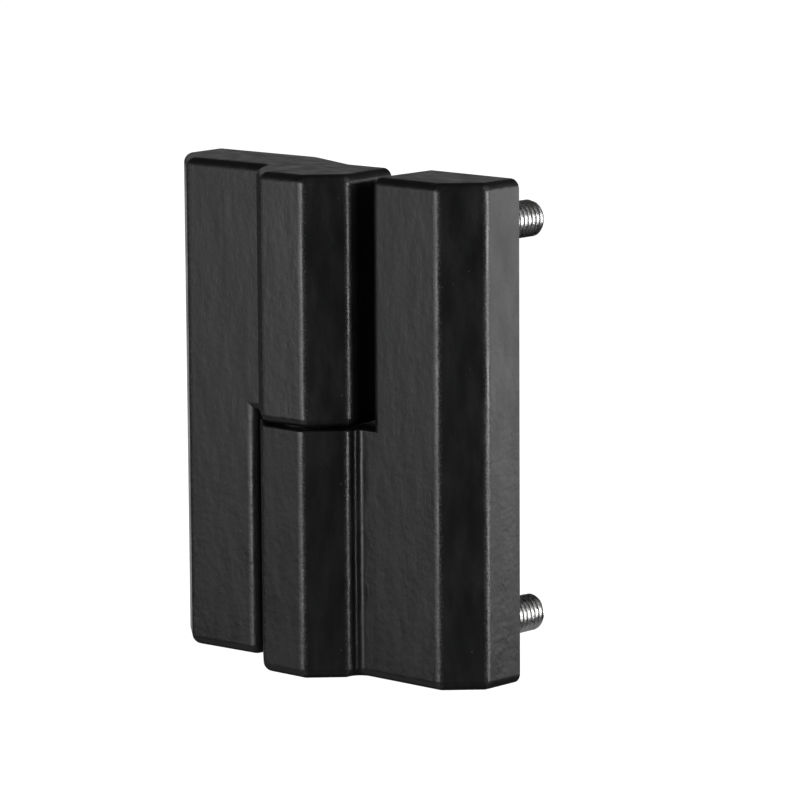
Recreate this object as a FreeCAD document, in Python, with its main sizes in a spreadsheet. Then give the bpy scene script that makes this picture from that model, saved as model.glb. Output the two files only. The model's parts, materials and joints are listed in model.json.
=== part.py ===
import FreeCAD, Part
import os
import Sketcher

# Lift-off block hinge with threaded mounting studs.
#
# Two zinc die castings of one form face each other across an upright pin. The
# frame leaf carries the lower knuckle and the pin. The door leaf carries the
# upper knuckle, which drops over the pin, so that the door can be lifted off.
#
# The bodies are drawn in millimetres about the pin:
#   x = 0      axis of the pin, with the frame leaf at +X and the door leaf at -X
#   y = 0      plane of the two mounting faces, with the front of the hinge at -Y
#   z = 0      underside of the frame leaf, +Z up
#
# Each body's Placement then moves it, so that the part's own origin lies on the
# frame leaf's mounting face, midway between the two studs that hold the hinge up.
# It also turns the door leaf and its studs about the pin, to where the door stands
# slightly open.

DRIVING_SIZES = {
    # castings, seen from above
    "leaf_depth": 17.5,  # mounting face to front facet
    "leaf_inner": 16.5,  # pin axis to the leaf's inner edge
    "leaf_outer": 43.25,  # pin axis to the leaf's outer edge
    "outer_chamfer": 7.5,  # both legs of the 45 degree chamfer
    "pin_offset": 18.0,  # mounting face to pin axis
    "knuckle_front": 27.7,  # mounting plane to the knuckle's front facet
    "knuckle_facet": 5.85,  # half width of that facet
    "knuckle_half": 12.9,  # half width of the knuckle
    "knuckle_recess": 6.3,  # mounting plane to the back of the knuckle
    "ramp_start": 13.9,  # where the back leaves the mounting plane
    "ramp_end": 0.9,  # where it reaches the recess, past the pin axis
    "rest_swing": 3.0,  # degrees that the door leaf stands open
    # castings, upright
    "leaf_height": 108.0,
    "knuckle_height": 53.95,
    "knuckle_gap": 0.5,
    # rounds of the castings
    "ridge_round": 2.5,  # upright ridges
    "rim_round": 2.2,  # top and bottom rims
    "valley_round": 1.6,  # inside corner between knuckle and leaf
    "ramp_round": 5.0,
    "frame_end_round": 0.5,  # rim of the lower knuckle's upper end
    "door_end_round": 2.0,  # rim of the upper knuckle's lower end
    # cored pockets in the back of each leaf
    "core_wall": 3.2,
    "core_first": 19.5,  # heights above the leaf's own stud end
    "core_length": 31.5,
    "core_second": 57.0,
    # pin, bush and washer
    "pin_radius": 4.0,
    "pin_seat": 34.0,  # length pressed into the lower knuckle
    "pin_stand": 34.0,  # length standing out of it
    "pin_point": 1.2,
    "bush_bore": 4.05,
    "bush_radius": 5.5,
    "bush_length": 36.0,
    "bush_lift": 0.3,  # bush set in from the knuckle's end
    "bush_lead": 0.4,
    "bore_radius": 5.55,
    "bore_length": 38.0,
    "washer_radius": 6.5,
    "washer_bore": 4.1,
    "washer_thickness": 0.3,
    # mounting studs
    "stud_reach": 30.5,  # pin axis to the studs
    "stud_radius": 4.0,  # outside the thread
    "stud_grip": 3.6,  # radius of the tapped hole, taken half way down the thread
    "stud_mouth": 0.5,  # countersink of that hole
    "stud_seat": 10.0,  # length screwed into the casting
    "stud_stand": 19.0,  # length standing out of the mounting face
    "stud_point": 1.0,
    "stud_spacing": 86.0,
}

# Heights that follow from the sizes, as expressions of the sheet's cells.
FRAME_BASE = "0"
DOOR_BASE = "(2 * sizes.knuckle_height + sizes.knuckle_gap - sizes.leaf_height)"
PARTING_LOW = "sizes.knuckle_height"
PARTING_HIGH = "(sizes.knuckle_height + sizes.knuckle_gap)"
DOOR_SWING = "sizes.rest_swing"

doc = FreeCAD.newDocument("lift_off_hinge")
sheet = doc.addObject("Spreadsheet::Sheet", "sizes")
for row, (alias, value) in enumerate(DRIVING_SIZES.items(), start=1):
    sheet.set(f"A{row}", alias)
    sheet.set(f"B{row}", str(value))
    sheet.setAlias(f"B{row}", alias)
doc.recompute()


def number(expression):
    """What an expression of the sheet's cells comes to."""
    return float(sheet.evalExpression(expression))


def origin_plane(body, role):
    return next(plane for plane in body.Origin.OriginFeatures if plane.Role == role)


def new_body(label, swing="0"):
    """A body drawn about the pin and placed about the middle of the frame's studs.

    swing turns it about the pin, in degrees. The pin lies in front of the body's own
    axis, so Base makes up for what the turn would move it by.
    """
    body = doc.addObject("PartDesign::Body", label)
    body.Label = label
    body.setExpression("Placement.Rotation.Angle", swing)
    body.setExpression("Placement.Base.x", f"-sizes.stud_reach - sizes.pin_offset * sin({swing})")
    body.setExpression("Placement.Base.y", f"-sizes.pin_offset * (1 - cos({swing}))")
    body.setExpression("Placement.Base.z", "-sizes.leaf_height / 2")
    return body


def new_sketch(body, name, role="XY_Plane", height="0"):
    """A sketch on one of the body's own planes, moved along the plane's normal."""
    sketch = body.newObject("Sketcher::SketchObject", name)
    sketch.AttachmentSupport = [(origin_plane(body, role), "")]
    sketch.MapMode = "FlatFace"
    sketch.setExpression("AttachmentOffset.Base.z", height)
    return sketch


def pin_down(sketch, geometry, point, name, x, y):
    """Ties a point of the sketch to x and y, which are expressions."""
    for kind, axis, expression in (("DistanceX", "x", x), ("DistanceY", "y", y)):
        tie = Sketcher.Constraint(kind, -1, 1, geometry, point, number(expression))
        index = sketch.addConstraint(tie)
        sketch.renameConstraint(index, f"{name}_{axis}")
        sketch.setExpression(f"Constraints.{name}_{axis}", expression)


def draw_outline(sketch, corners):
    """A closed outline of straight lines through corners given as expressions."""
    points = [FreeCAD.Vector(number(x), number(y), 0) for x, y in corners]
    following = points[1:] + points[:1]
    for start, end in zip(points, following):
        sketch.addGeometry(Part.LineSegment(start, end), False)
    for index in range(len(points)):
        joint = Sketcher.Constraint("Coincident", index, 2, (index + 1) % len(points), 1)
        sketch.addConstraint(joint)
    for index, (x, y) in enumerate(corners):
        pin_down(sketch, index, 1, f"corner{index}", x, y)


def draw_circle(sketch, name, radius, x="0", y="0"):
    centre = FreeCAD.Vector(number(x), number(y), 0)
    circle = Part.Circle(centre, FreeCAD.Vector(0, 0, 1), number(radius))
    geometry = sketch.addGeometry(circle, False)
    index = sketch.addConstraint(Sketcher.Constraint("Radius", geometry, number(radius)))
    sketch.renameConstraint(index, f"{name}_radius")
    sketch.setExpression(f"Constraints.{name}_radius", radius)
    pin_down(sketch, geometry, 3, name, x, y)


def pad(body, name, sketch, length):
    feature = body.newObject("PartDesign::Pad", name)
    feature.Profile = sketch
    feature.setExpression("Length", length)
    sketch.Visibility = False
    doc.recompute()
    return feature


def pocket(body, name, sketch, length, along_normal):
    """Cuts a pocket and makes sure that it took material away."""
    before = body.Shape.Volume
    feature = body.newObject("PartDesign::Pocket", name)
    feature.Profile = sketch
    feature.setExpression("Length", length)
    feature.Reversed = along_normal
    doc.recompute()
    if before - body.Shape.Volume < 1.0:
        raise RuntimeError(f"{body.Label}: {name} cuts nothing")
    return feature


def edges_where(feature, wanted):
    """Names of the feature's edges that the test accepts."""
    return [f"Edge{n}" for n, edge in enumerate(feature.Shape.Edges, start=1) if wanted(edge)]


def dress(body, kind, name, base, wanted, expression):
    """A fillet or a chamfer on the edges of base that the test accepts."""
    edges = edges_where(base, wanted)
    if not edges:
        raise RuntimeError(f"{body.Label}: {name} finds no edge")
    feature = body.newObject(f"PartDesign::{kind}", name)
    feature.Base = (base, edges)
    feature.setExpression("Radius" if kind == "Fillet" else "Size", expression)
    doc.recompute()
    return feature


def near(value, target, tolerance=0.02):
    return abs(value - target) < tolerance


def upright_at(places):
    """Test for upright edges that stand on one of the given x, y places."""

    def wanted(edge):
        box = edge.BoundBox
        if box.XLength > 0.01 or box.YLength > 0.01:
            return False
        return any(near(box.XMin, x) and near(box.YMin, y) for x, y in places)

    return wanted


def level_at(heights, keep):
    """Test for level edges at one of the heights whose middle passes keep(x, y)."""

    def wanted(edge):
        box = edge.BoundBox
        if box.ZLength > 0.01 or not any(near(box.ZMin, z) for z in heights):
            return False
        middle = edge.valueAt((edge.FirstParameter + edge.LastParameter) / 2)
        return keep(middle.x, middle.y)

    return wanted


# ---------------------------------------------------------------- castings

def leaf_outline(side):
    """The leaf without its knuckle; side is 1 for the frame leaf, -1 for the door's."""
    return [
        (f"{side} * sizes.leaf_inner", "0"),
        (f"{side} * sizes.leaf_outer", "0"),
        (f"{side} * sizes.leaf_outer", "sizes.outer_chamfer - sizes.leaf_depth"),
        (f"{side} * (sizes.leaf_outer - sizes.outer_chamfer)", "-sizes.leaf_depth"),
        (f"{side} * sizes.leaf_inner", "-sizes.leaf_depth"),
    ]


def knuckle_outline(side):
    """The knuckle and the web that joins it to its leaf.

    The front has a narrow facet between two 45 degree chamfers. The back leaves
    the mounting plane on a ramp and stays clear of it while the hinge swings.
    """
    shoulder = "sizes.knuckle_half - sizes.knuckle_facet - sizes.knuckle_front"
    return [
        (f"{side} * (sizes.leaf_inner + sizes.core_wall / 2)", "0"),
        (f"{side} * sizes.ramp_start", "0"),
        (f"{-side} * sizes.ramp_end", "-sizes.knuckle_recess"),
        (f"{-side} * sizes.knuckle_half", "-sizes.knuckle_recess"),
        (f"{-side} * sizes.knuckle_half", shoulder),
        (f"{-side} * sizes.knuckle_facet", "-sizes.knuckle_front"),
        (f"{side} * sizes.knuckle_facet", "-sizes.knuckle_front"),
        (f"{side} * sizes.knuckle_half", shoulder),
        (f"{side} * sizes.knuckle_half", "-sizes.leaf_depth"),
        (f"{side} * (sizes.leaf_inner + sizes.core_wall / 2)", "-sizes.leaf_depth"),
    ]


def core_outline(side):
    """A cored pocket, which keeps an even wall behind the chamfer too."""
    inner = "(sizes.leaf_inner + sizes.core_wall)"
    outer = "(sizes.leaf_outer - sizes.core_wall)"
    deep = "(sizes.leaf_depth - sizes.core_wall)"
    # The chamfer's wall is the same thickness square to it: 2 - sqrt(2) = 0.5858.
    slope = "(sizes.outer_chamfer - 0.5858 * sizes.core_wall)"
    return [
        (f"{side} * {inner}", "1"),
        (f"{side} * {outer}", "1"),
        (f"{side} * {outer}", f"{slope} - {deep}"),
        (f"{side} * ({outer} - {slope})", f"-{deep}"),
        (f"{side} * {inner}", f"-{deep}"),
    ]


def stud_mouth(edge):
    """Test for the rims of the stud holes, which lie on the mounting face."""
    is_round = edge.Curve.TypeId == "Part::GeomCircle"
    on_face = near(edge.BoundBox.YMin, 0) and near(edge.BoundBox.YMax, 0)
    return is_round and on_face and near(edge.Curve.Radius, number("sizes.stud_grip"))


def places_of(corners, wanted):
    return [(number(corners[i][0]), number(corners[i][1])) for i in wanted]


def build_casting(
    label, side, swing, base, knuckle_base, end_round, bore, bore_length, bore_end, bore_up
):
    """One leaf with its knuckle, cored back, pin bore and stud holes.

    base is the height of the leaf's underside and knuckle_base the knuckle's.
    bore_end is the height of the bore's mouth, and bore_up says that it runs up.
    """
    body = new_body(label, swing)
    leaf = leaf_outline(side)
    knuckle = knuckle_outline(side)

    leaf_sketch = new_sketch(body, f"{label}_plan", height=base)
    draw_outline(leaf_sketch, leaf)
    pad(body, f"{label}_plate", leaf_sketch, "sizes.leaf_height")
    knuckle_sketch = new_sketch(body, f"{label}_knuckle_plan", height=knuckle_base)
    draw_outline(knuckle_sketch, knuckle)
    shape = pad(body, f"{label}_knuckle", knuckle_sketch, "sizes.knuckle_height")

    ridges = upright_at(places_of(leaf, (2, 3, 4)) + places_of(knuckle, (4, 5, 6, 7)))
    shape = dress(body, "Fillet", f"{label}_ridges", shape, ridges, "sizes.ridge_round")
    valley = upright_at(places_of(knuckle, (8,)))
    shape = dress(body, "Fillet", f"{label}_valley", shape, valley, "sizes.valley_round")
    ramp = upright_at(places_of(knuckle, (1, 2)))
    shape = dress(body, "Fillet", f"{label}_ramp", shape, ramp, "sizes.ramp_round")

    recess = number("sizes.knuckle_recess")
    inner = number("sizes.leaf_inner")

    def in_front(x, y):
        """Not along the mounting face, the ramp or the recess behind the knuckle."""
        return y < -recess - 0.02 or (y < -0.02 and side * x > inner - 0.02)

    def off_the_leaf(x, y):
        """In front, and not along the leaf's inner edge."""
        return in_front(x, y) and side * x < inner - 0.02

    low = number(base)
    rims = level_at((low, low + number("sizes.leaf_height")), in_front)
    shape = dress(body, "Fillet", f"{label}_rims", shape, rims, "sizes.rim_round")
    ends = level_at((number(bore_end),), off_the_leaf)
    shape = dress(body, "Fillet", f"{label}_ends", shape, ends, end_round)

    bore_sketch = new_sketch(body, f"{label}_bore_plan", height=bore_end)
    draw_circle(bore_sketch, "bore", bore, "0", "-sizes.pin_offset")
    pocket(body, f"{label}_bore", bore_sketch, bore_length, bore_up)

    for index, start in enumerate(("sizes.core_first", "sizes.core_second"), start=1):
        sketch = new_sketch(body, f"{label}_core_plan_{index}", height=f"{base} + {start}")
        draw_outline(sketch, core_outline(side))
        pocket(body, f"{label}_core_{index}", sketch, "sizes.core_length", True)

    for name, offset in (("low", "-"), ("high", "+")):
        sketch = new_sketch(body, f"{label}_stud_{name}_plan", "XZ_Plane")
        centre = f"{base} + sizes.leaf_height / 2 {offset} sizes.stud_spacing / 2"
        draw_circle(sketch, "hole", "sizes.stud_grip", f"{side} * sizes.stud_reach", centre)
        shape = pocket(body, f"{label}_stud_{name}", sketch, "sizes.stud_seat", True)
    dress(body, "Chamfer", f"{label}_stud_mouths", shape, stud_mouth, "sizes.stud_mouth")
    return body


frame_leaf = build_casting(
    "frame_leaf",
    side=1,
    swing="0",
    base=FRAME_BASE,
    knuckle_base=FRAME_BASE,
    end_round="sizes.frame_end_round",
    bore="sizes.pin_radius",
    bore_length="sizes.pin_seat",
    bore_end=PARTING_LOW,
    bore_up=False,
)
door_leaf = build_casting(
    "door_leaf",
    side=-1,
    swing=DOOR_SWING,
    base=DOOR_BASE,
    knuckle_base=PARTING_HIGH,
    end_round="sizes.door_end_round",
    bore="sizes.bore_radius",
    bore_length="sizes.bore_length",
    bore_end=PARTING_HIGH,
    bore_up=True,
)


# ---------------------------------------------------------------- pin, bush and washer

def round_ends(edge):
    """Test for the outer rims of a turned piece that stands on the z axis."""
    return edge.Curve.TypeId == "Part::GeomCircle"


def build_pin():
    """Ground pin, pressed into the lower knuckle, with a chamfer on both ends."""
    body = new_body("hinge_pin")
    sketch = new_sketch(body, "hinge_pin_plan", height=f"{PARTING_LOW} - sizes.pin_seat")
    draw_circle(sketch, "pin", "sizes.pin_radius", "0", "-sizes.pin_offset")
    shape = pad(body, "hinge_pin_shaft", sketch, "sizes.pin_seat + sizes.pin_stand")
    dress(body, "Chamfer", "hinge_pin_points", shape, round_ends, "sizes.pin_point")
    return body


def build_ring(label, low, length, outer, bore, lead=None):
    """A plain ring round the pin, with a lead chamfer in its bore if one is given."""
    body = new_body(label)
    sketch = new_sketch(body, f"{label}_plan", height=low)
    draw_circle(sketch, "outside", outer, "0", "-sizes.pin_offset")
    draw_circle(sketch, "inside", bore, "0", "-sizes.pin_offset")
    shape = pad(body, f"{label}_ring", sketch, length)
    if lead:
        radius = number(bore)

        def mouth(edge):
            is_round = edge.Curve.TypeId == "Part::GeomCircle"
            return is_round and near(edge.Curve.Radius, radius)

        dress(body, "Chamfer", f"{label}_lead", shape, mouth, lead)
    return body


def build_stud(label, side, swing, height):
    """Threaded stud, screwed into the back of a leaf.

    What stands out has the thread's outside diameter, and the seat fills the hole.
    """
    body = new_body(label, swing)
    across = f"{side} * sizes.stud_reach"
    seat_sketch = new_sketch(body, f"{label}_seat_plan", "XZ_Plane")
    draw_circle(seat_sketch, "seat", "sizes.stud_grip", across, height)
    pad(body, f"{label}_seat", seat_sketch, "sizes.stud_seat")
    sketch = new_sketch(body, f"{label}_plan", "XZ_Plane", "-sizes.stud_stand")
    draw_circle(sketch, "stud", "sizes.stud_radius", across, height)
    shape = pad(body, f"{label}_shank", sketch, "sizes.stud_stand")
    stand_out = number("sizes.stud_stand")

    def point(edge):
        return near(edge.BoundBox.YMin, stand_out) and near(edge.BoundBox.YMax, stand_out)

    dress(body, "Chamfer", f"{label}_point", shape, point, "sizes.stud_point")
    return body


nodes = [
    frame_leaf,
    door_leaf,
    build_pin(),
    build_ring(
        "knuckle_bush",
        f"{PARTING_HIGH} + sizes.bush_lift",
        "sizes.bush_length",
        "sizes.bush_radius",
        "sizes.bush_bore",
        "sizes.bush_lead",
    ),
    build_ring(
        "thrust_washer",
        PARTING_LOW,
        "sizes.washer_thickness",
        "sizes.washer_radius",
        "sizes.washer_bore",
    ),
]
for leaf_name, side, swing, base in (
    ("frame", 1, "0", FRAME_BASE),
    ("door", -1, DOOR_SWING, DOOR_BASE),
):
    for name, offset in (("lower", "-"), ("upper", "+")):
        height = f"{base} + sizes.leaf_height / 2 {offset} sizes.stud_spacing / 2"
        nodes.append(build_stud(f"{leaf_name}_stud_{name}", side, swing, height))

# ---------------------------------------------------------------- checks and export

doc.recompute()
for item in doc.Objects:
    if "Invalid" in item.State or "Error" in item.State:
        raise RuntimeError(f"{item.Label} failed: {item.State}")

os.makedirs("parts", exist_ok=True)
for node in nodes:
    if node.Shape.isNull() or not node.Shape.isValid():
        raise RuntimeError(f"{node.Label} has no valid shape")
    node.Shape.exportStep(f"parts/{node.Label}.step")
    box = node.Shape.BoundBox
    print(f"{node.Label:18s} {node.Shape.Volume:9.1f} mm3, solids {len(node.Shape.Solids)}")
    print(
        f"    x {box.XMin:.2f}..{box.XMax:.2f}, y {box.YMin:.2f}..{box.YMax:.2f},"
        f" z {box.ZMin:.2f}..{box.ZMax:.2f}"
    )
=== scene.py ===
import json
import math

import bmesh
import bpy
from mathutils import Matrix, Vector


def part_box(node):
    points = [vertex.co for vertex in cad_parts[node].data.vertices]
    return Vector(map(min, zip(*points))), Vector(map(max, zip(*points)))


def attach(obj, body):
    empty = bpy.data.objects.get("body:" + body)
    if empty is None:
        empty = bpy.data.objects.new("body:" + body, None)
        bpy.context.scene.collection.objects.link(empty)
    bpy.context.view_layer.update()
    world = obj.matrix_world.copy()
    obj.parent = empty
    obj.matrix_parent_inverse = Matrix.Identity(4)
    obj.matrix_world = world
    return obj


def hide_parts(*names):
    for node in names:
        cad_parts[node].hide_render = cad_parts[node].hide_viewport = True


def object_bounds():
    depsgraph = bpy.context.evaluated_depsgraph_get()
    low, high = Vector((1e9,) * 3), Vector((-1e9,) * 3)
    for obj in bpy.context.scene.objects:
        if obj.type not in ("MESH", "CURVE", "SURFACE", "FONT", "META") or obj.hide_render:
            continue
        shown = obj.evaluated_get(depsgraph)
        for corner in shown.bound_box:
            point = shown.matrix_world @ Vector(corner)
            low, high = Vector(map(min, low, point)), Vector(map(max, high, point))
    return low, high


# A lift-off block hinge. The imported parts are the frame: metres, +Z up along the
# pin, the mounting faces on y = 0 and the front towards -Y. The origin lies on the
# frame leaf's mounting face, midway between its two studs.
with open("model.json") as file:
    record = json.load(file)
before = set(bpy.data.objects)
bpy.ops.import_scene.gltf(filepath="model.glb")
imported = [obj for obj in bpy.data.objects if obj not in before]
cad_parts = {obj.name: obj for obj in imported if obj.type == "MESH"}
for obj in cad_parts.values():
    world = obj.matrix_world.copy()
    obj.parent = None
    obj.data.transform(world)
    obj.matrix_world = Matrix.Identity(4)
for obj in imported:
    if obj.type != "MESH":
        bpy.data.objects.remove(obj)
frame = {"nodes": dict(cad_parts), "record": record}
cad_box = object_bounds()
MM = 0.001


# ---------------------------------------------------------------- the two leaves
# Two zinc die castings of one form. They are blasted and powder coated in satin
# black, which flows into a faint orange peel and draws thin over every ridge. The lighter
# grey along the ridges is partly primer showing through and partly a painted highlight,
# the speckled shine of the ridges. The backs are coated too, with their cored pockets.

def add_node(tree, kind, inputs=None, **settings):
    """A node with its settings and inputs; an input is a value or another socket."""
    node = tree.nodes.new(kind)
    for name, value in settings.items():
        setattr(node, name, value)
    for name, value in (inputs or {}).items():
        if isinstance(value, bpy.types.NodeSocket):
            tree.links.new(value, node.inputs[name])
        else:
            node.inputs[name].default_value = value
    return node


def math_nodes(tree):
    """A function that adds a Math node to the tree and gives its output."""

    def reckon(operation, first, second=0.0, third=0.0):
        node = add_node(tree, "ShaderNodeMath", {0: first, 1: second, 2: third}, operation=operation)
        return node.outputs[0]

    return reckon


def new_group(name, inputs, outputs):
    """A shader node group with named sockets, and its input and output nodes."""
    tree = bpy.data.node_groups.new(name, "ShaderNodeTree")
    for socket, kind, value in inputs:
        made = tree.interface.new_socket(socket, in_out="INPUT", socket_type=kind)
        if value is not None:
            made.default_value = value
    for socket, kind in outputs:
        tree.interface.new_socket(socket, in_out="OUTPUT", socket_type=kind)
    return tree, tree.nodes.new("NodeGroupInput").outputs, tree.nodes.new("NodeGroupOutput")


def make_mottle():
    """Soft clouds of a surface that isn't quite even, between two values."""
    tree, given, result = new_group(
        "soft_mottle",
        [
            ("Vector", "NodeSocketVector", None),
            ("Scale", "NodeSocketFloat", 100.0),
            ("Detail", "NodeSocketFloat", 3.0),
            ("Low", "NodeSocketFloat", 0.0),
            ("High", "NodeSocketFloat", 1.0),
        ],
        [("Value", "NodeSocketFloat")],
    )
    clouds = add_node(
        tree,
        "ShaderNodeTexNoise",
        {"Vector": given["Vector"], "Scale": given["Scale"], "Detail": given["Detail"]},
    )
    spread = add_node(
        tree,
        "ShaderNodeMapRange",
        {
            "Value": clouds.outputs["Fac"],
            "From Min": 0.3,
            "From Max": 0.7,
            "To Min": given["Low"],
            "To Max": given["High"],
        },
    )
    tree.links.new(spread.outputs["Result"], result.inputs["Value"])
    return tree


def make_specks():
    """Sparse round specks, such as dust nibs under a coat; 1 in a speck, 0 between."""
    tree, given, result = new_group(
        "specks",
        [
            ("Vector", "NodeSocketVector", None),
            ("Scale", "NodeSocketFloat", 300.0),
            ("Size", "NodeSocketFloat", 0.08),
        ],
        [("Mask", "NodeSocketFloat")],
    )
    cells = add_node(
        tree,
        "ShaderNodeTexVoronoi",
        {"Vector": given["Vector"], "Scale": given["Scale"]},
    )
    own_size = add_node(
        tree,
        "ShaderNodeMath",
        {0: cells.outputs["Color"], 1: given["Size"]},
        operation="MULTIPLY",
    )
    inside = add_node(
        tree,
        "ShaderNodeMapRange",
        {
            "Value": cells.outputs["Distance"],
            "From Min": 0.0,
            "From Max": own_size.outputs[0],
            "To Min": 1.0,
            "To Max": 0.0,
        },
        interpolation_type="SMOOTHSTEP",
    )
    tree.links.new(inside.outputs["Result"], result.inputs["Mask"])
    return tree


SOFT_MOTTLE = make_mottle()
SPECKS = make_specks()


def place_group(tree, group, inputs):
    """A group placed in a material with its own values; gives its first output."""
    return add_node(tree, "ShaderNodeGroup", inputs, node_tree=group).outputs[0]


def new_material(name, **surface):
    """A material with a Principled surface, and its tree, surface and object coordinates."""
    material = bpy.data.materials.new(name)
    material.use_nodes = True
    tree = material.node_tree
    principled = tree.nodes["Principled BSDF"]
    for socket, value in surface.items():
        principled.inputs[socket.replace("_", " ")].default_value = value
    place = tree.nodes.new("ShaderNodeTexCoord").outputs["Object"]
    return material, tree, principled, place


def stretched(tree, place, scale):
    """The coordinates with a scale of their own along each axis."""
    return add_node(tree, "ShaderNodeMapping", {"Vector": place, "Scale": scale}).outputs[0]


def blend_colours(tree, factor, first, second):
    mix = add_node(tree, "ShaderNodeMix", data_type="RGBA")
    tree.links.new(factor, mix.inputs["Factor"])
    for socket, colour in ((mix.inputs[6], first), (mix.inputs[7], second)):
        if isinstance(colour, bpy.types.NodeSocket):
            tree.links.new(colour, socket)
        else:
            socket.default_value = (*colour, 1.0)
    return mix.outputs[2]


def bump(tree, height, depth, below=None):
    """Relief of the given depth in metres, laid over another relief if there is one."""
    node = add_node(tree, "ShaderNodeBump", {"Height": height, "Distance": depth})
    if below is not None:
        tree.links.new(below, node.inputs["Normal"])
    return node.outputs["Normal"]


pin_low, pin_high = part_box("hinge_pin")
PIN_X = (pin_low.x + pin_high.x) / 2
PIN_Y = (pin_low.y + pin_high.y) / 2

# The door leaf stands slightly open, and its studs point where its back faces.
MOUNTS = {mount["name"]: mount for mount in frame["record"]["mounts"]}
door_studs_axis = MOUNTS["door_studs"]["axis"]
DOOR_SWING = math.atan2(-door_studs_axis[0], door_studs_axis[1])

# The castings' upright ridges, as distances from the pin's plane and from the
# mounting plane. The inner ridge is there only where a leaf stands free of its
# knuckle: the upper half of the frame leaf and the lower half of the door leaf.
LEAF_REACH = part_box("frame_leaf")[1].x - PIN_X
LEAF_FRONT = -17.5 * MM
OUTER_CHAMFER = 7.5 * MM
KNUCKLE_FRONT = -27.7 * MM
KNUCKLE_FACET = 5.85 * MM
KNUCKLE_SIDE = 12.9 * MM
INNER_RIDGE = (16.5 * MM, LEAF_FRONT)
RIDGES = [
    (LEAF_REACH, LEAF_FRONT + OUTER_CHAMFER),
    (LEAF_REACH - OUTER_CHAMFER, LEAF_FRONT),
    (KNUCKLE_SIDE, KNUCKLE_FRONT + KNUCKLE_SIDE - KNUCKLE_FACET),
    (KNUCKLE_FACET, KNUCKLE_FRONT),
]


def distance_to_ridges(tree, place, swing, free_half):
    """How far a point is from the nearest of a leaf's upright ridges, in metres.

    swing is the leaf's turn about the pin, and free_half is 1 if the leaf stands
    free of its knuckle in its upper half and -1 if in its lower.
    """
    reckon = math_nodes(tree)
    about_pin = add_node(
        tree,
        "ShaderNodeVectorMath",
        {0: place, 1: (PIN_X, PIN_Y, 0.0)},
        operation="SUBTRACT",
    )
    straight = add_node(
        tree,
        "ShaderNodeMapping",
        {"Vector": about_pin.outputs[0], "Location": (0.0, PIN_Y, 0.0), "Rotation": (0.0, 0.0, -swing)},
    )
    apart = add_node(tree, "ShaderNodeSeparateXYZ", {"Vector": straight.outputs[0]})
    across = reckon("ABSOLUTE", apart.outputs["X"])
    flat = add_node(tree, "ShaderNodeCombineXYZ", {"X": across, "Y": apart.outputs["Y"]})

    def reach(ridge):
        inputs = {0: flat.outputs[0], 1: (*ridge, 0.0)}
        node = add_node(tree, "ShaderNodeVectorMath", inputs, operation="DISTANCE")
        return node.outputs["Value"]

    # A metre more puts the inner ridge out of reach where a leaf joins its knuckle.
    joined = reckon("LESS_THAN", reckon("MULTIPLY", apart.outputs["Z"], float(free_half)), 0.0)
    nearest = reckon("ADD", reach(INNER_RIDGE), joined)
    for ridge in RIDGES:
        nearest = reckon("MINIMUM", nearest, reach(ridge))
    return nearest


def make_powder_coat(name, swing, free_half):
    material, tree, surface, place = new_material(name, Specular_IOR_Level=0.5, IOR=1.5)
    streaked = stretched(tree, place, (1.0, 1.0, 0.35))
    clouds = place_group(tree, SOFT_MOTTLE, {"Vector": streaked, "Scale": 230.0, "Detail": 4.0})
    grain = place_group(tree, SOFT_MOTTLE, {"Vector": place, "Scale": 1500.0, "Detail": 2.0})
    nibs = place_group(tree, SPECKS, {"Vector": place, "Scale": 330.0, "Size": 0.11})

    # The coat is thin on the ridges, where the grey primer starts to show in points. The same
    # lighter grey is also a painted highlight: it stands for the speckled shine along the ridges.
    near_ridge = add_node(
        tree,
        "ShaderNodeMapRange",
        {
            "Value": distance_to_ridges(tree, place, swing, free_half),
            "From Min": 0.3 * MM,
            "From Max": 1.3 * MM,
            "To Min": 1.0,
            "To Max": 0.0,
        },
        interpolation_type="SMOOTHSTEP",
    )
    points = place_group(
        tree, SOFT_MOTTLE, {"Vector": place, "Scale": 2300.0, "Detail": 3.0, "Low": -0.7, "High": 1.0}
    )
    thin_coat_and_sheen = add_node(
        tree,
        "ShaderNodeMath",
        {0: near_ridge.outputs["Result"], 1: points},
        operation="MULTIPLY",
        use_clamp=True,
    )
    coat = blend_colours(tree, clouds, (0.0035, 0.0037, 0.0042), (0.0060, 0.0062, 0.0068))
    # Painted highlight and wear: the light grey on the ridges is partly primer, partly painted shine.
    worn_and_sheen = blend_colours(tree, thin_coat_and_sheen.outputs[0], coat, (0.05, 0.05, 0.05))
    dusty = blend_colours(tree, nibs, worn_and_sheen, (0.045, 0.045, 0.047))
    tree.links.new(dusty, surface.inputs["Base Color"])

    satin = place_group(
        tree, SOFT_MOTTLE, {"Vector": streaked, "Scale": 260.0, "Detail": 5.0, "Low": 0.27, "High": 0.42}
    )
    tree.links.new(satin, surface.inputs["Roughness"])

    peel = place_group(tree, SOFT_MOTTLE, {"Vector": place, "Scale": 620.0, "Detail": 1.0})
    relief = bump(tree, clouds, 0.07 * MM)
    relief = bump(tree, peel, 0.02 * MM, relief)
    relief = bump(tree, grain, 0.004 * MM, relief)
    relief = bump(tree, nibs, 0.02 * MM, relief)
    tree.links.new(relief, surface.inputs["Normal"])
    return material


def coat_with(node_name, material):
    """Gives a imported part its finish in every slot."""
    part = frame["nodes"][node_name]
    for slot in part.material_slots:
        slot.material = material


coat_with("frame_leaf", make_powder_coat("powder_coat_frame", swing=0.0, free_half=1))
coat_with("door_leaf", make_powder_coat("powder_coat_door", swing=DOOR_SWING, free_half=-1))


# ---------------------------------------------------------------- the pin
# An 8 mm stainless pin, centreless ground and pressed into the lower knuckle. Only
# its fine grinding rings and a trace of grease haze break the shine.

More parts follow.
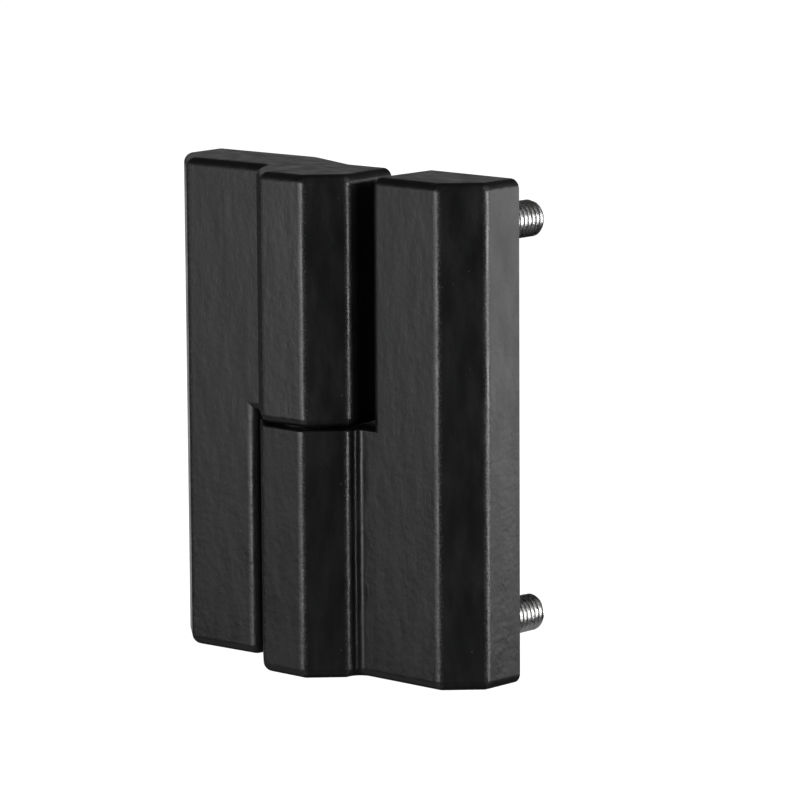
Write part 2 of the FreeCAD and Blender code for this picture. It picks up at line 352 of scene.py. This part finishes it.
def make_ground_steel():
    material, tree, surface, place = new_material("ground_stainless_steel", Metallic=1.0)
    rings = place_group(
        tree,
        SOFT_MOTTLE,
        {"Vector": stretched(tree, place, (0.15, 0.15, 6.0)), "Scale": 900.0, "Detail": 3.0},
    )
    haze = place_group(
        tree, SOFT_MOTTLE, {"Vector": place, "Scale": 160.0, "Detail": 4.0, "Low": 0.2, "High": 0.34}
    )
    steel = blend_colours(tree, rings, (0.46, 0.46, 0.45), (0.62, 0.62, 0.61))
    tree.links.new(steel, surface.inputs["Base Color"])
    tree.links.new(haze, surface.inputs["Roughness"])
    tree.links.new(bump(tree, rings, 0.003 * MM), surface.inputs["Normal"])
    return material


coat_with("hinge_pin", make_ground_steel())


# ---------------------------------------------------------------- bush and washer
# The bush that the pin turns in and the thin washer between the knuckles are
# moulded in matt black acetal, rubbed slightly lighter where they run.

def make_acetal():
    material, tree, surface, place = new_material("matt_black_acetal")
    rubbed = place_group(
        tree,
        SOFT_MOTTLE,
        {"Vector": stretched(tree, place, (1.0, 1.0, 4.0)), "Scale": 500.0, "Detail": 4.0},
    )
    dull = place_group(
        tree, SOFT_MOTTLE, {"Vector": place, "Scale": 300.0, "Detail": 3.0, "Low": 0.5, "High": 0.65}
    )
    plastic = blend_colours(tree, rubbed, (0.012, 0.012, 0.013), (0.03, 0.03, 0.032))
    tree.links.new(plastic, surface.inputs["Base Color"])
    tree.links.new(dull, surface.inputs["Roughness"])
    tree.links.new(bump(tree, rubbed, 0.006 * MM), surface.inputs["Normal"])
    return material


ACETAL = make_acetal()
for ring in ("knuckle_bush", "thrust_washer"):
    coat_with(ring, ACETAL)


# ---------------------------------------------------------------- threaded studs
# M8 studs of coarse pitch with a rolled thread and a chamfered point, bright zinc
# plated and set in the back of each casting, two to a leaf. The thread runs on a
# little way into the casting and ends there, out of sight.

THREAD_PITCH = 1.25 * MM
THREAD_DEPTH = 0.5413 * THREAD_PITCH  # as the metric profile has it
THREAD_ROWS = 16  # to a turn, so that crests and roots fall on a row
THREAD_SIDES = 64
THREAD_SHARP_ANGLE = 35  # degrees, past which an edge isn't shaded smooth
STUD_RADIUS = 4.0 * MM
STUD_STAND_OUT = 19.0 * MM
STUD_SPACING = 86.0 * MM
STUD_POINT = 1.0 * MM
STUD_HIDDEN = 1.5 * MM  # length of thread inside the casting


def make_zinc_plate():
    material, tree, surface, place = new_material("bright_zinc_plate", Metallic=1.0)
    bloom = place_group(tree, SOFT_MOTTLE, {"Vector": place, "Scale": 450.0, "Detail": 4.0})
    dull = place_group(
        tree, SOFT_MOTTLE, {"Vector": place, "Scale": 1100.0, "Detail": 3.0, "Low": 0.22, "High": 0.4}
    )
    nicks = place_group(tree, SPECKS, {"Vector": place, "Scale": 900.0, "Size": 0.3})
    plate = blend_colours(tree, bloom, (0.58, 0.58, 0.57), (0.74, 0.74, 0.74))
    nicked = blend_colours(tree, nicks, plate, (0.4, 0.4, 0.39))
    tree.links.new(nicked, surface.inputs["Base Color"])
    tree.links.new(dull, surface.inputs["Roughness"])
    tree.links.new(bump(tree, bloom, 0.004 * MM), surface.inputs["Normal"])
    return material


ZINC_PLATE = make_zinc_plate()


def make_thread_tree():
    """Geometry nodes that set a threaded stud, pointing along +Y, on every point.

    A flat grid is wrapped into a tube whose rows follow the helix. Its radius
    follows the thread's profile, and both ends close on the axis.
    """
    tree = bpy.data.node_groups.new("threaded_studs", "GeometryNodeTree")
    tree.interface.new_socket("Geometry", in_out="INPUT", socket_type="NodeSocketGeometry")
    for name in ("Radius", "Pitch", "Depth", "Stand Out", "Hidden", "Point", "Swing"):
        tree.interface.new_socket(name, in_out="INPUT", socket_type="NodeSocketFloat")
    tree.interface.new_socket("Material", in_out="INPUT", socket_type="NodeSocketMaterial")
    tree.interface.new_socket("Geometry", in_out="OUTPUT", socket_type="NodeSocketGeometry")
    given = tree.nodes.new("NodeGroupInput").outputs
    result = tree.nodes.new("NodeGroupOutput")
    reckon = math_nodes(tree)

    def ramp(value, low, high, to_low, to_high):
        limits = {"From Min": low, "From Max": high, "To Min": to_low, "To Max": to_high}
        node = add_node(tree, "ShaderNodeMapRange", {"Value": value, **limits})
        return node.outputs["Result"]

    # Two pitches more than the stud's length leave room for the slant of the rows.
    pitches = reckon("DIVIDE", reckon("ADD", given["Stand Out"], given["Hidden"]), given["Pitch"])
    turns = reckon("ADD", reckon("CEIL", pitches), 2.0)
    grid = add_node(
        tree,
        "GeometryNodeMeshGrid",
        {
            "Size X": 2 * math.pi,
            "Size Y": reckon("MULTIPLY", turns, given["Pitch"]),
            "Vertices X": THREAD_SIDES + 1,
            "Vertices Y": reckon("MULTIPLY_ADD", turns, float(THREAD_ROWS), 1.0),
        },
    )
    position = tree.nodes.new("GeometryNodeInputPosition").outputs[0]
    spot = add_node(tree, "ShaderNodeSeparateXYZ", {"Vector": position})
    angle, row = spot.outputs["X"], spot.outputs["Y"]
    middle = reckon("MULTIPLY", reckon("SUBTRACT", given["Stand Out"], given["Hidden"]), 0.5)
    turn = reckon("DIVIDE", angle, 2 * math.pi)
    along = reckon("ADD", reckon("MULTIPLY_ADD", turn, given["Pitch"], row), middle)

    # Flats are a quarter of the pitch at the root and an eighth at the crest.
    wave = reckon("MULTIPLY", reckon("PINGPONG", reckon("DIVIDE", row, given["Pitch"]), 0.5), 2.0)
    root = reckon("SUBTRACT", given["Radius"], given["Depth"])
    profile = ramp(wave, 0.25, 0.875, root, given["Radius"])
    blunt = reckon("SUBTRACT", given["Radius"], given["Point"])
    base = reckon("MULTIPLY", given["Hidden"], -1.0)
    before_tip = reckon("SUBTRACT", given["Stand Out"], given["Point"])
    tip = ramp(along, before_tip, given["Stand Out"], given["Radius"], blunt)
    heel = ramp(along, base, reckon("ADD", base, given["Point"]), blunt, given["Radius"])
    round_part = reckon("MINIMUM", profile, reckon("MINIMUM", tip, heel))
    margin = reckon("MULTIPLY", given["Pitch"], 0.25)
    before_end = reckon("LESS_THAN", along, reckon("ADD", given["Stand Out"], margin))
    after_start = reckon("GREATER_THAN", along, reckon("SUBTRACT", base, margin))
    radius = reckon("MULTIPLY", round_part, reckon("MULTIPLY", before_end, after_start))

    wrapped = add_node(
        tree,
        "ShaderNodeCombineXYZ",
        {
            "X": reckon("MULTIPLY", radius, reckon("COSINE", angle)),
            "Y": reckon("MINIMUM", given["Stand Out"], reckon("MAXIMUM", base, along)),
            "Z": reckon("MULTIPLY", radius, reckon("SINE", angle)),
        },
    )
    tube = add_node(
        tree,
        "GeometryNodeSetPosition",
        {"Geometry": grid.outputs["Mesh"], "Position": wrapped.outputs[0]},
    )
    closed = add_node(
        tree, "GeometryNodeMergeByDistance", {"Geometry": tube.outputs[0], "Distance": 0.0005 * MM}
    )
    # Each stud stops at its own angle, as it happened to be screwed in.
    clocking = add_node(tree, "FunctionNodeRandomValue", {"Seed": 4}, data_type="FLOAT")
    clocking.inputs[3].default_value = 2 * math.pi  # the largest angle
    turned = add_node(
        tree, "ShaderNodeCombineXYZ", {"Y": clocking.outputs[1], "Z": given["Swing"]}
    )
    spread = add_node(
        tree,
        "GeometryNodeInstanceOnPoints",
        {"Points": given["Geometry"], "Instance": closed.outputs[0], "Rotation": turned.outputs[0]},
    )
    real = add_node(tree, "GeometryNodeRealizeInstances", {"Geometry": spread.outputs[0]})
    plated = add_node(
        tree,
        "GeometryNodeSetMaterial",
        {"Geometry": real.outputs[0], "Material": given["Material"]},
    )
    tree.links.new(plated.outputs[0], result.inputs["Geometry"])
    return tree


THREAD_TREE = make_thread_tree()


def add_object(name, data):
    """An object in the scene that holds a mesh, a light or a camera."""
    made = bpy.data.objects.new(name, data)
    bpy.context.scene.collection.objects.link(made)
    return made


def grow(name, points, tree, values):
    """A plain mesh of what a tree of geometry nodes makes on the given points."""
    seeds = bpy.data.meshes.new(f"{name}_seeds")
    seeds.from_pydata(points, [], [])
    grower = add_object(f"{name}_grower", seeds)
    modifier = grower.modifiers.new("grow", "NODES")
    modifier.node_group = tree
    for item in tree.interface.items_tree:
        if item.in_out == "INPUT" and item.name in values:
            modifier[item.identifier] = values[item.name]
    evaluated = grower.evaluated_get(bpy.context.evaluated_depsgraph_get())
    mesh = bpy.data.meshes.new_from_object(evaluated)
    bpy.data.objects.remove(grower)
    mesh.name = name
    return add_object(name, mesh)


def shade_mesh(mesh, sharp_angle):
    """Turns every face outwards and shades the mesh smooth, up to a sharp angle."""
    work = bmesh.new()
    work.from_mesh(mesh)
    bmesh.ops.recalc_face_normals(work, faces=work.faces)
    work.to_mesh(mesh)
    work.free()
    mesh.shade_smooth()
    mesh.set_sharp_from_angle(angle=math.radians(sharp_angle))


for body, swing in (("frame", 0.0), ("door", DOOR_SWING)):
    x, y, z = MOUNTS[f"{body}_studs"]["pos_m"]
    studs = grow(
        f"{body}_stud_threads",
        [(x, y, z - STUD_SPACING / 2), (x, y, z + STUD_SPACING / 2)],
        THREAD_TREE,
        {
            "Radius": STUD_RADIUS,
            "Pitch": THREAD_PITCH,
            "Depth": THREAD_DEPTH,
            "Stand Out": STUD_STAND_OUT,
            "Hidden": STUD_HIDDEN,
            "Point": STUD_POINT,
            "Swing": swing,
            "Material": ZINC_PLATE,
        },
    )
    shade_mesh(studs.data, THREAD_SHARP_ANGLE)
    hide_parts(f"{body}_stud_lower", f"{body}_stud_upper")
    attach(studs, body)


# ---------------------------------------------------------------- studio
# A white floor, and softboxes at the height of the hinge: a strip in front that
# draws the ridges, weaker ones to its left and a pair at the right. Faint ones
# stand for the sky, the table, the back of the room and its far wall.

CENTRE = Vector((PIN_X, PIN_Y, 0.0))
FLOOR_SIZE = 8.0


def outwards(azimuth, elevation):
    """A direction away from the hinge; azimuth 0 is in front and 90 at its right."""
    turn, lift = math.radians(azimuth), math.radians(elevation)
    flat = math.cos(lift)
    return Vector((math.sin(turn) * flat, -math.cos(turn) * flat, math.sin(lift)))


def softbox(name, azimuth, elevation, distance, width, height, brightness):
    """An area light that stands outwards from the hinge and is aimed at it."""
    direction = outwards(azimuth, elevation)
    light = bpy.data.lights.new(name, "AREA")
    light.shape = "RECTANGLE"
    light.size = width
    light.size_y = height
    light.energy = brightness * math.pi * width * height
    lamp = add_object(name, light)
    facing = direction.to_track_quat("Z", "Y").to_matrix().to_4x4()
    lamp.matrix_world = Matrix.Translation(CENTRE + direction * distance) @ facing
    lamp.visible_camera = False


softbox("front_strip", azimuth=-1, elevation=4, distance=0.7, width=0.22, height=0.48, brightness=7.0)
softbox("front_wing", azimuth=-23, elevation=4, distance=0.75, width=0.30, height=0.50, brightness=2.3)
softbox("left_wing", azimuth=-50, elevation=5, distance=0.8, width=0.40, height=0.58, brightness=0.55)
softbox("right_strip", azimuth=98, elevation=4, distance=0.7, width=0.26, height=0.45, brightness=11.0)
softbox("right_wing", azimuth=138, elevation=4, distance=0.8, width=0.56, height=0.50, brightness=2.7)
softbox("right_sky", azimuth=115, elevation=52, distance=0.9, width=0.9, height=0.6, brightness=0.55)
softbox("table_glow", azimuth=-20, elevation=-55, distance=0.8, width=1.2, height=0.7, brightness=0.22)
softbox("back_left", azimuth=-128, elevation=-11, distance=0.9, width=0.5, height=0.26, brightness=0.7)
softbox("far_wall", azimuth=-138, elevation=14, distance=1.2, width=1.2, height=0.5, brightness=0.21)

floor_mesh = bpy.data.meshes.new("studio_floor")
half = FLOOR_SIZE / 2
floor_z = cad_box[0][2]
floor_mesh.from_pydata(
    [(-half, -half, floor_z), (half, -half, floor_z), (half, half, floor_z), (-half, half, floor_z)],
    [],
    [(0, 1, 2, 3)],
)
floor = add_object("studio_floor", floor_mesh)
paper, *_ = new_material(
    "pale_paper",
    Roughness=0.9,
    Base_Color=(0.5, 0.5, 0.5, 1.0),
    Emission_Color=(1.0, 1.0, 1.0, 1.0),
    Emission_Strength=1.0,
)
floor_mesh.materials.append(paper)
floor.visible_glossy = False
floor.visible_diffuse = False
floor.visible_shadow = False

# The world is white where the camera sees it, and lights the hinge only faintly.
world = bpy.data.worlds.new("studio")
world.use_nodes = True
bpy.context.scene.world = world
sky = world.node_tree.nodes["Background"]
seen = world.node_tree.nodes.new("ShaderNodeLightPath").outputs["Is Camera Ray"]
strength = add_node(
    world.node_tree,
    "ShaderNodeMapRange",
    {"Value": seen, "To Min": 0.04, "To Max": 1.0},
)
world.node_tree.links.new(strength.outputs["Result"], sky.inputs["Strength"])
sky.inputs["Color"].default_value = (1.0, 1.0, 1.0, 1.0)
bpy.context.scene.view_settings.view_transform = "Standard"

# The camera stands to the right of the hinge and a little above it, with a long lens.
CAMERA_AZIMUTH = 42.46
CAMERA_ELEVATION = 9.72
CAMERA_DISTANCE = 1.0457
CAMERA_ROLL = -0.33
CAMERA_LENS = 218.7
CAMERA_SHIFT = (-0.0179, 0.0202)
AIM = Vector((-24.35, -4.91, 0.0)) * MM
AIM_RIGHT = 8.5 * MM
AIM_UP = 0.2 * MM

turn = math.radians(CAMERA_AZIMUTH)
backwards = outwards(CAMERA_AZIMUTH, CAMERA_ELEVATION)
rightwards = Vector((math.cos(turn), math.sin(turn), 0.0))
upwards = backwards.cross(rightwards)
camera_data = bpy.data.cameras.new("camera")
camera_data.lens = CAMERA_LENS
camera_data.sensor_width = 36.0
camera_data.shift_x, camera_data.shift_y = CAMERA_SHIFT
camera_data.clip_start = 0.01
camera = add_object("camera", camera_data)
stand = AIM + rightwards * AIM_RIGHT + upwards * AIM_UP + backwards * CAMERA_DISTANCE
axes = Matrix((rightwards, upwards, backwards)).transposed().to_4x4()
roll = Matrix.Rotation(math.radians(CAMERA_ROLL), 4, "Z")
camera.matrix_world = Matrix.Translation(stand) @ axes @ roll
bpy.context.scene.camera = camera
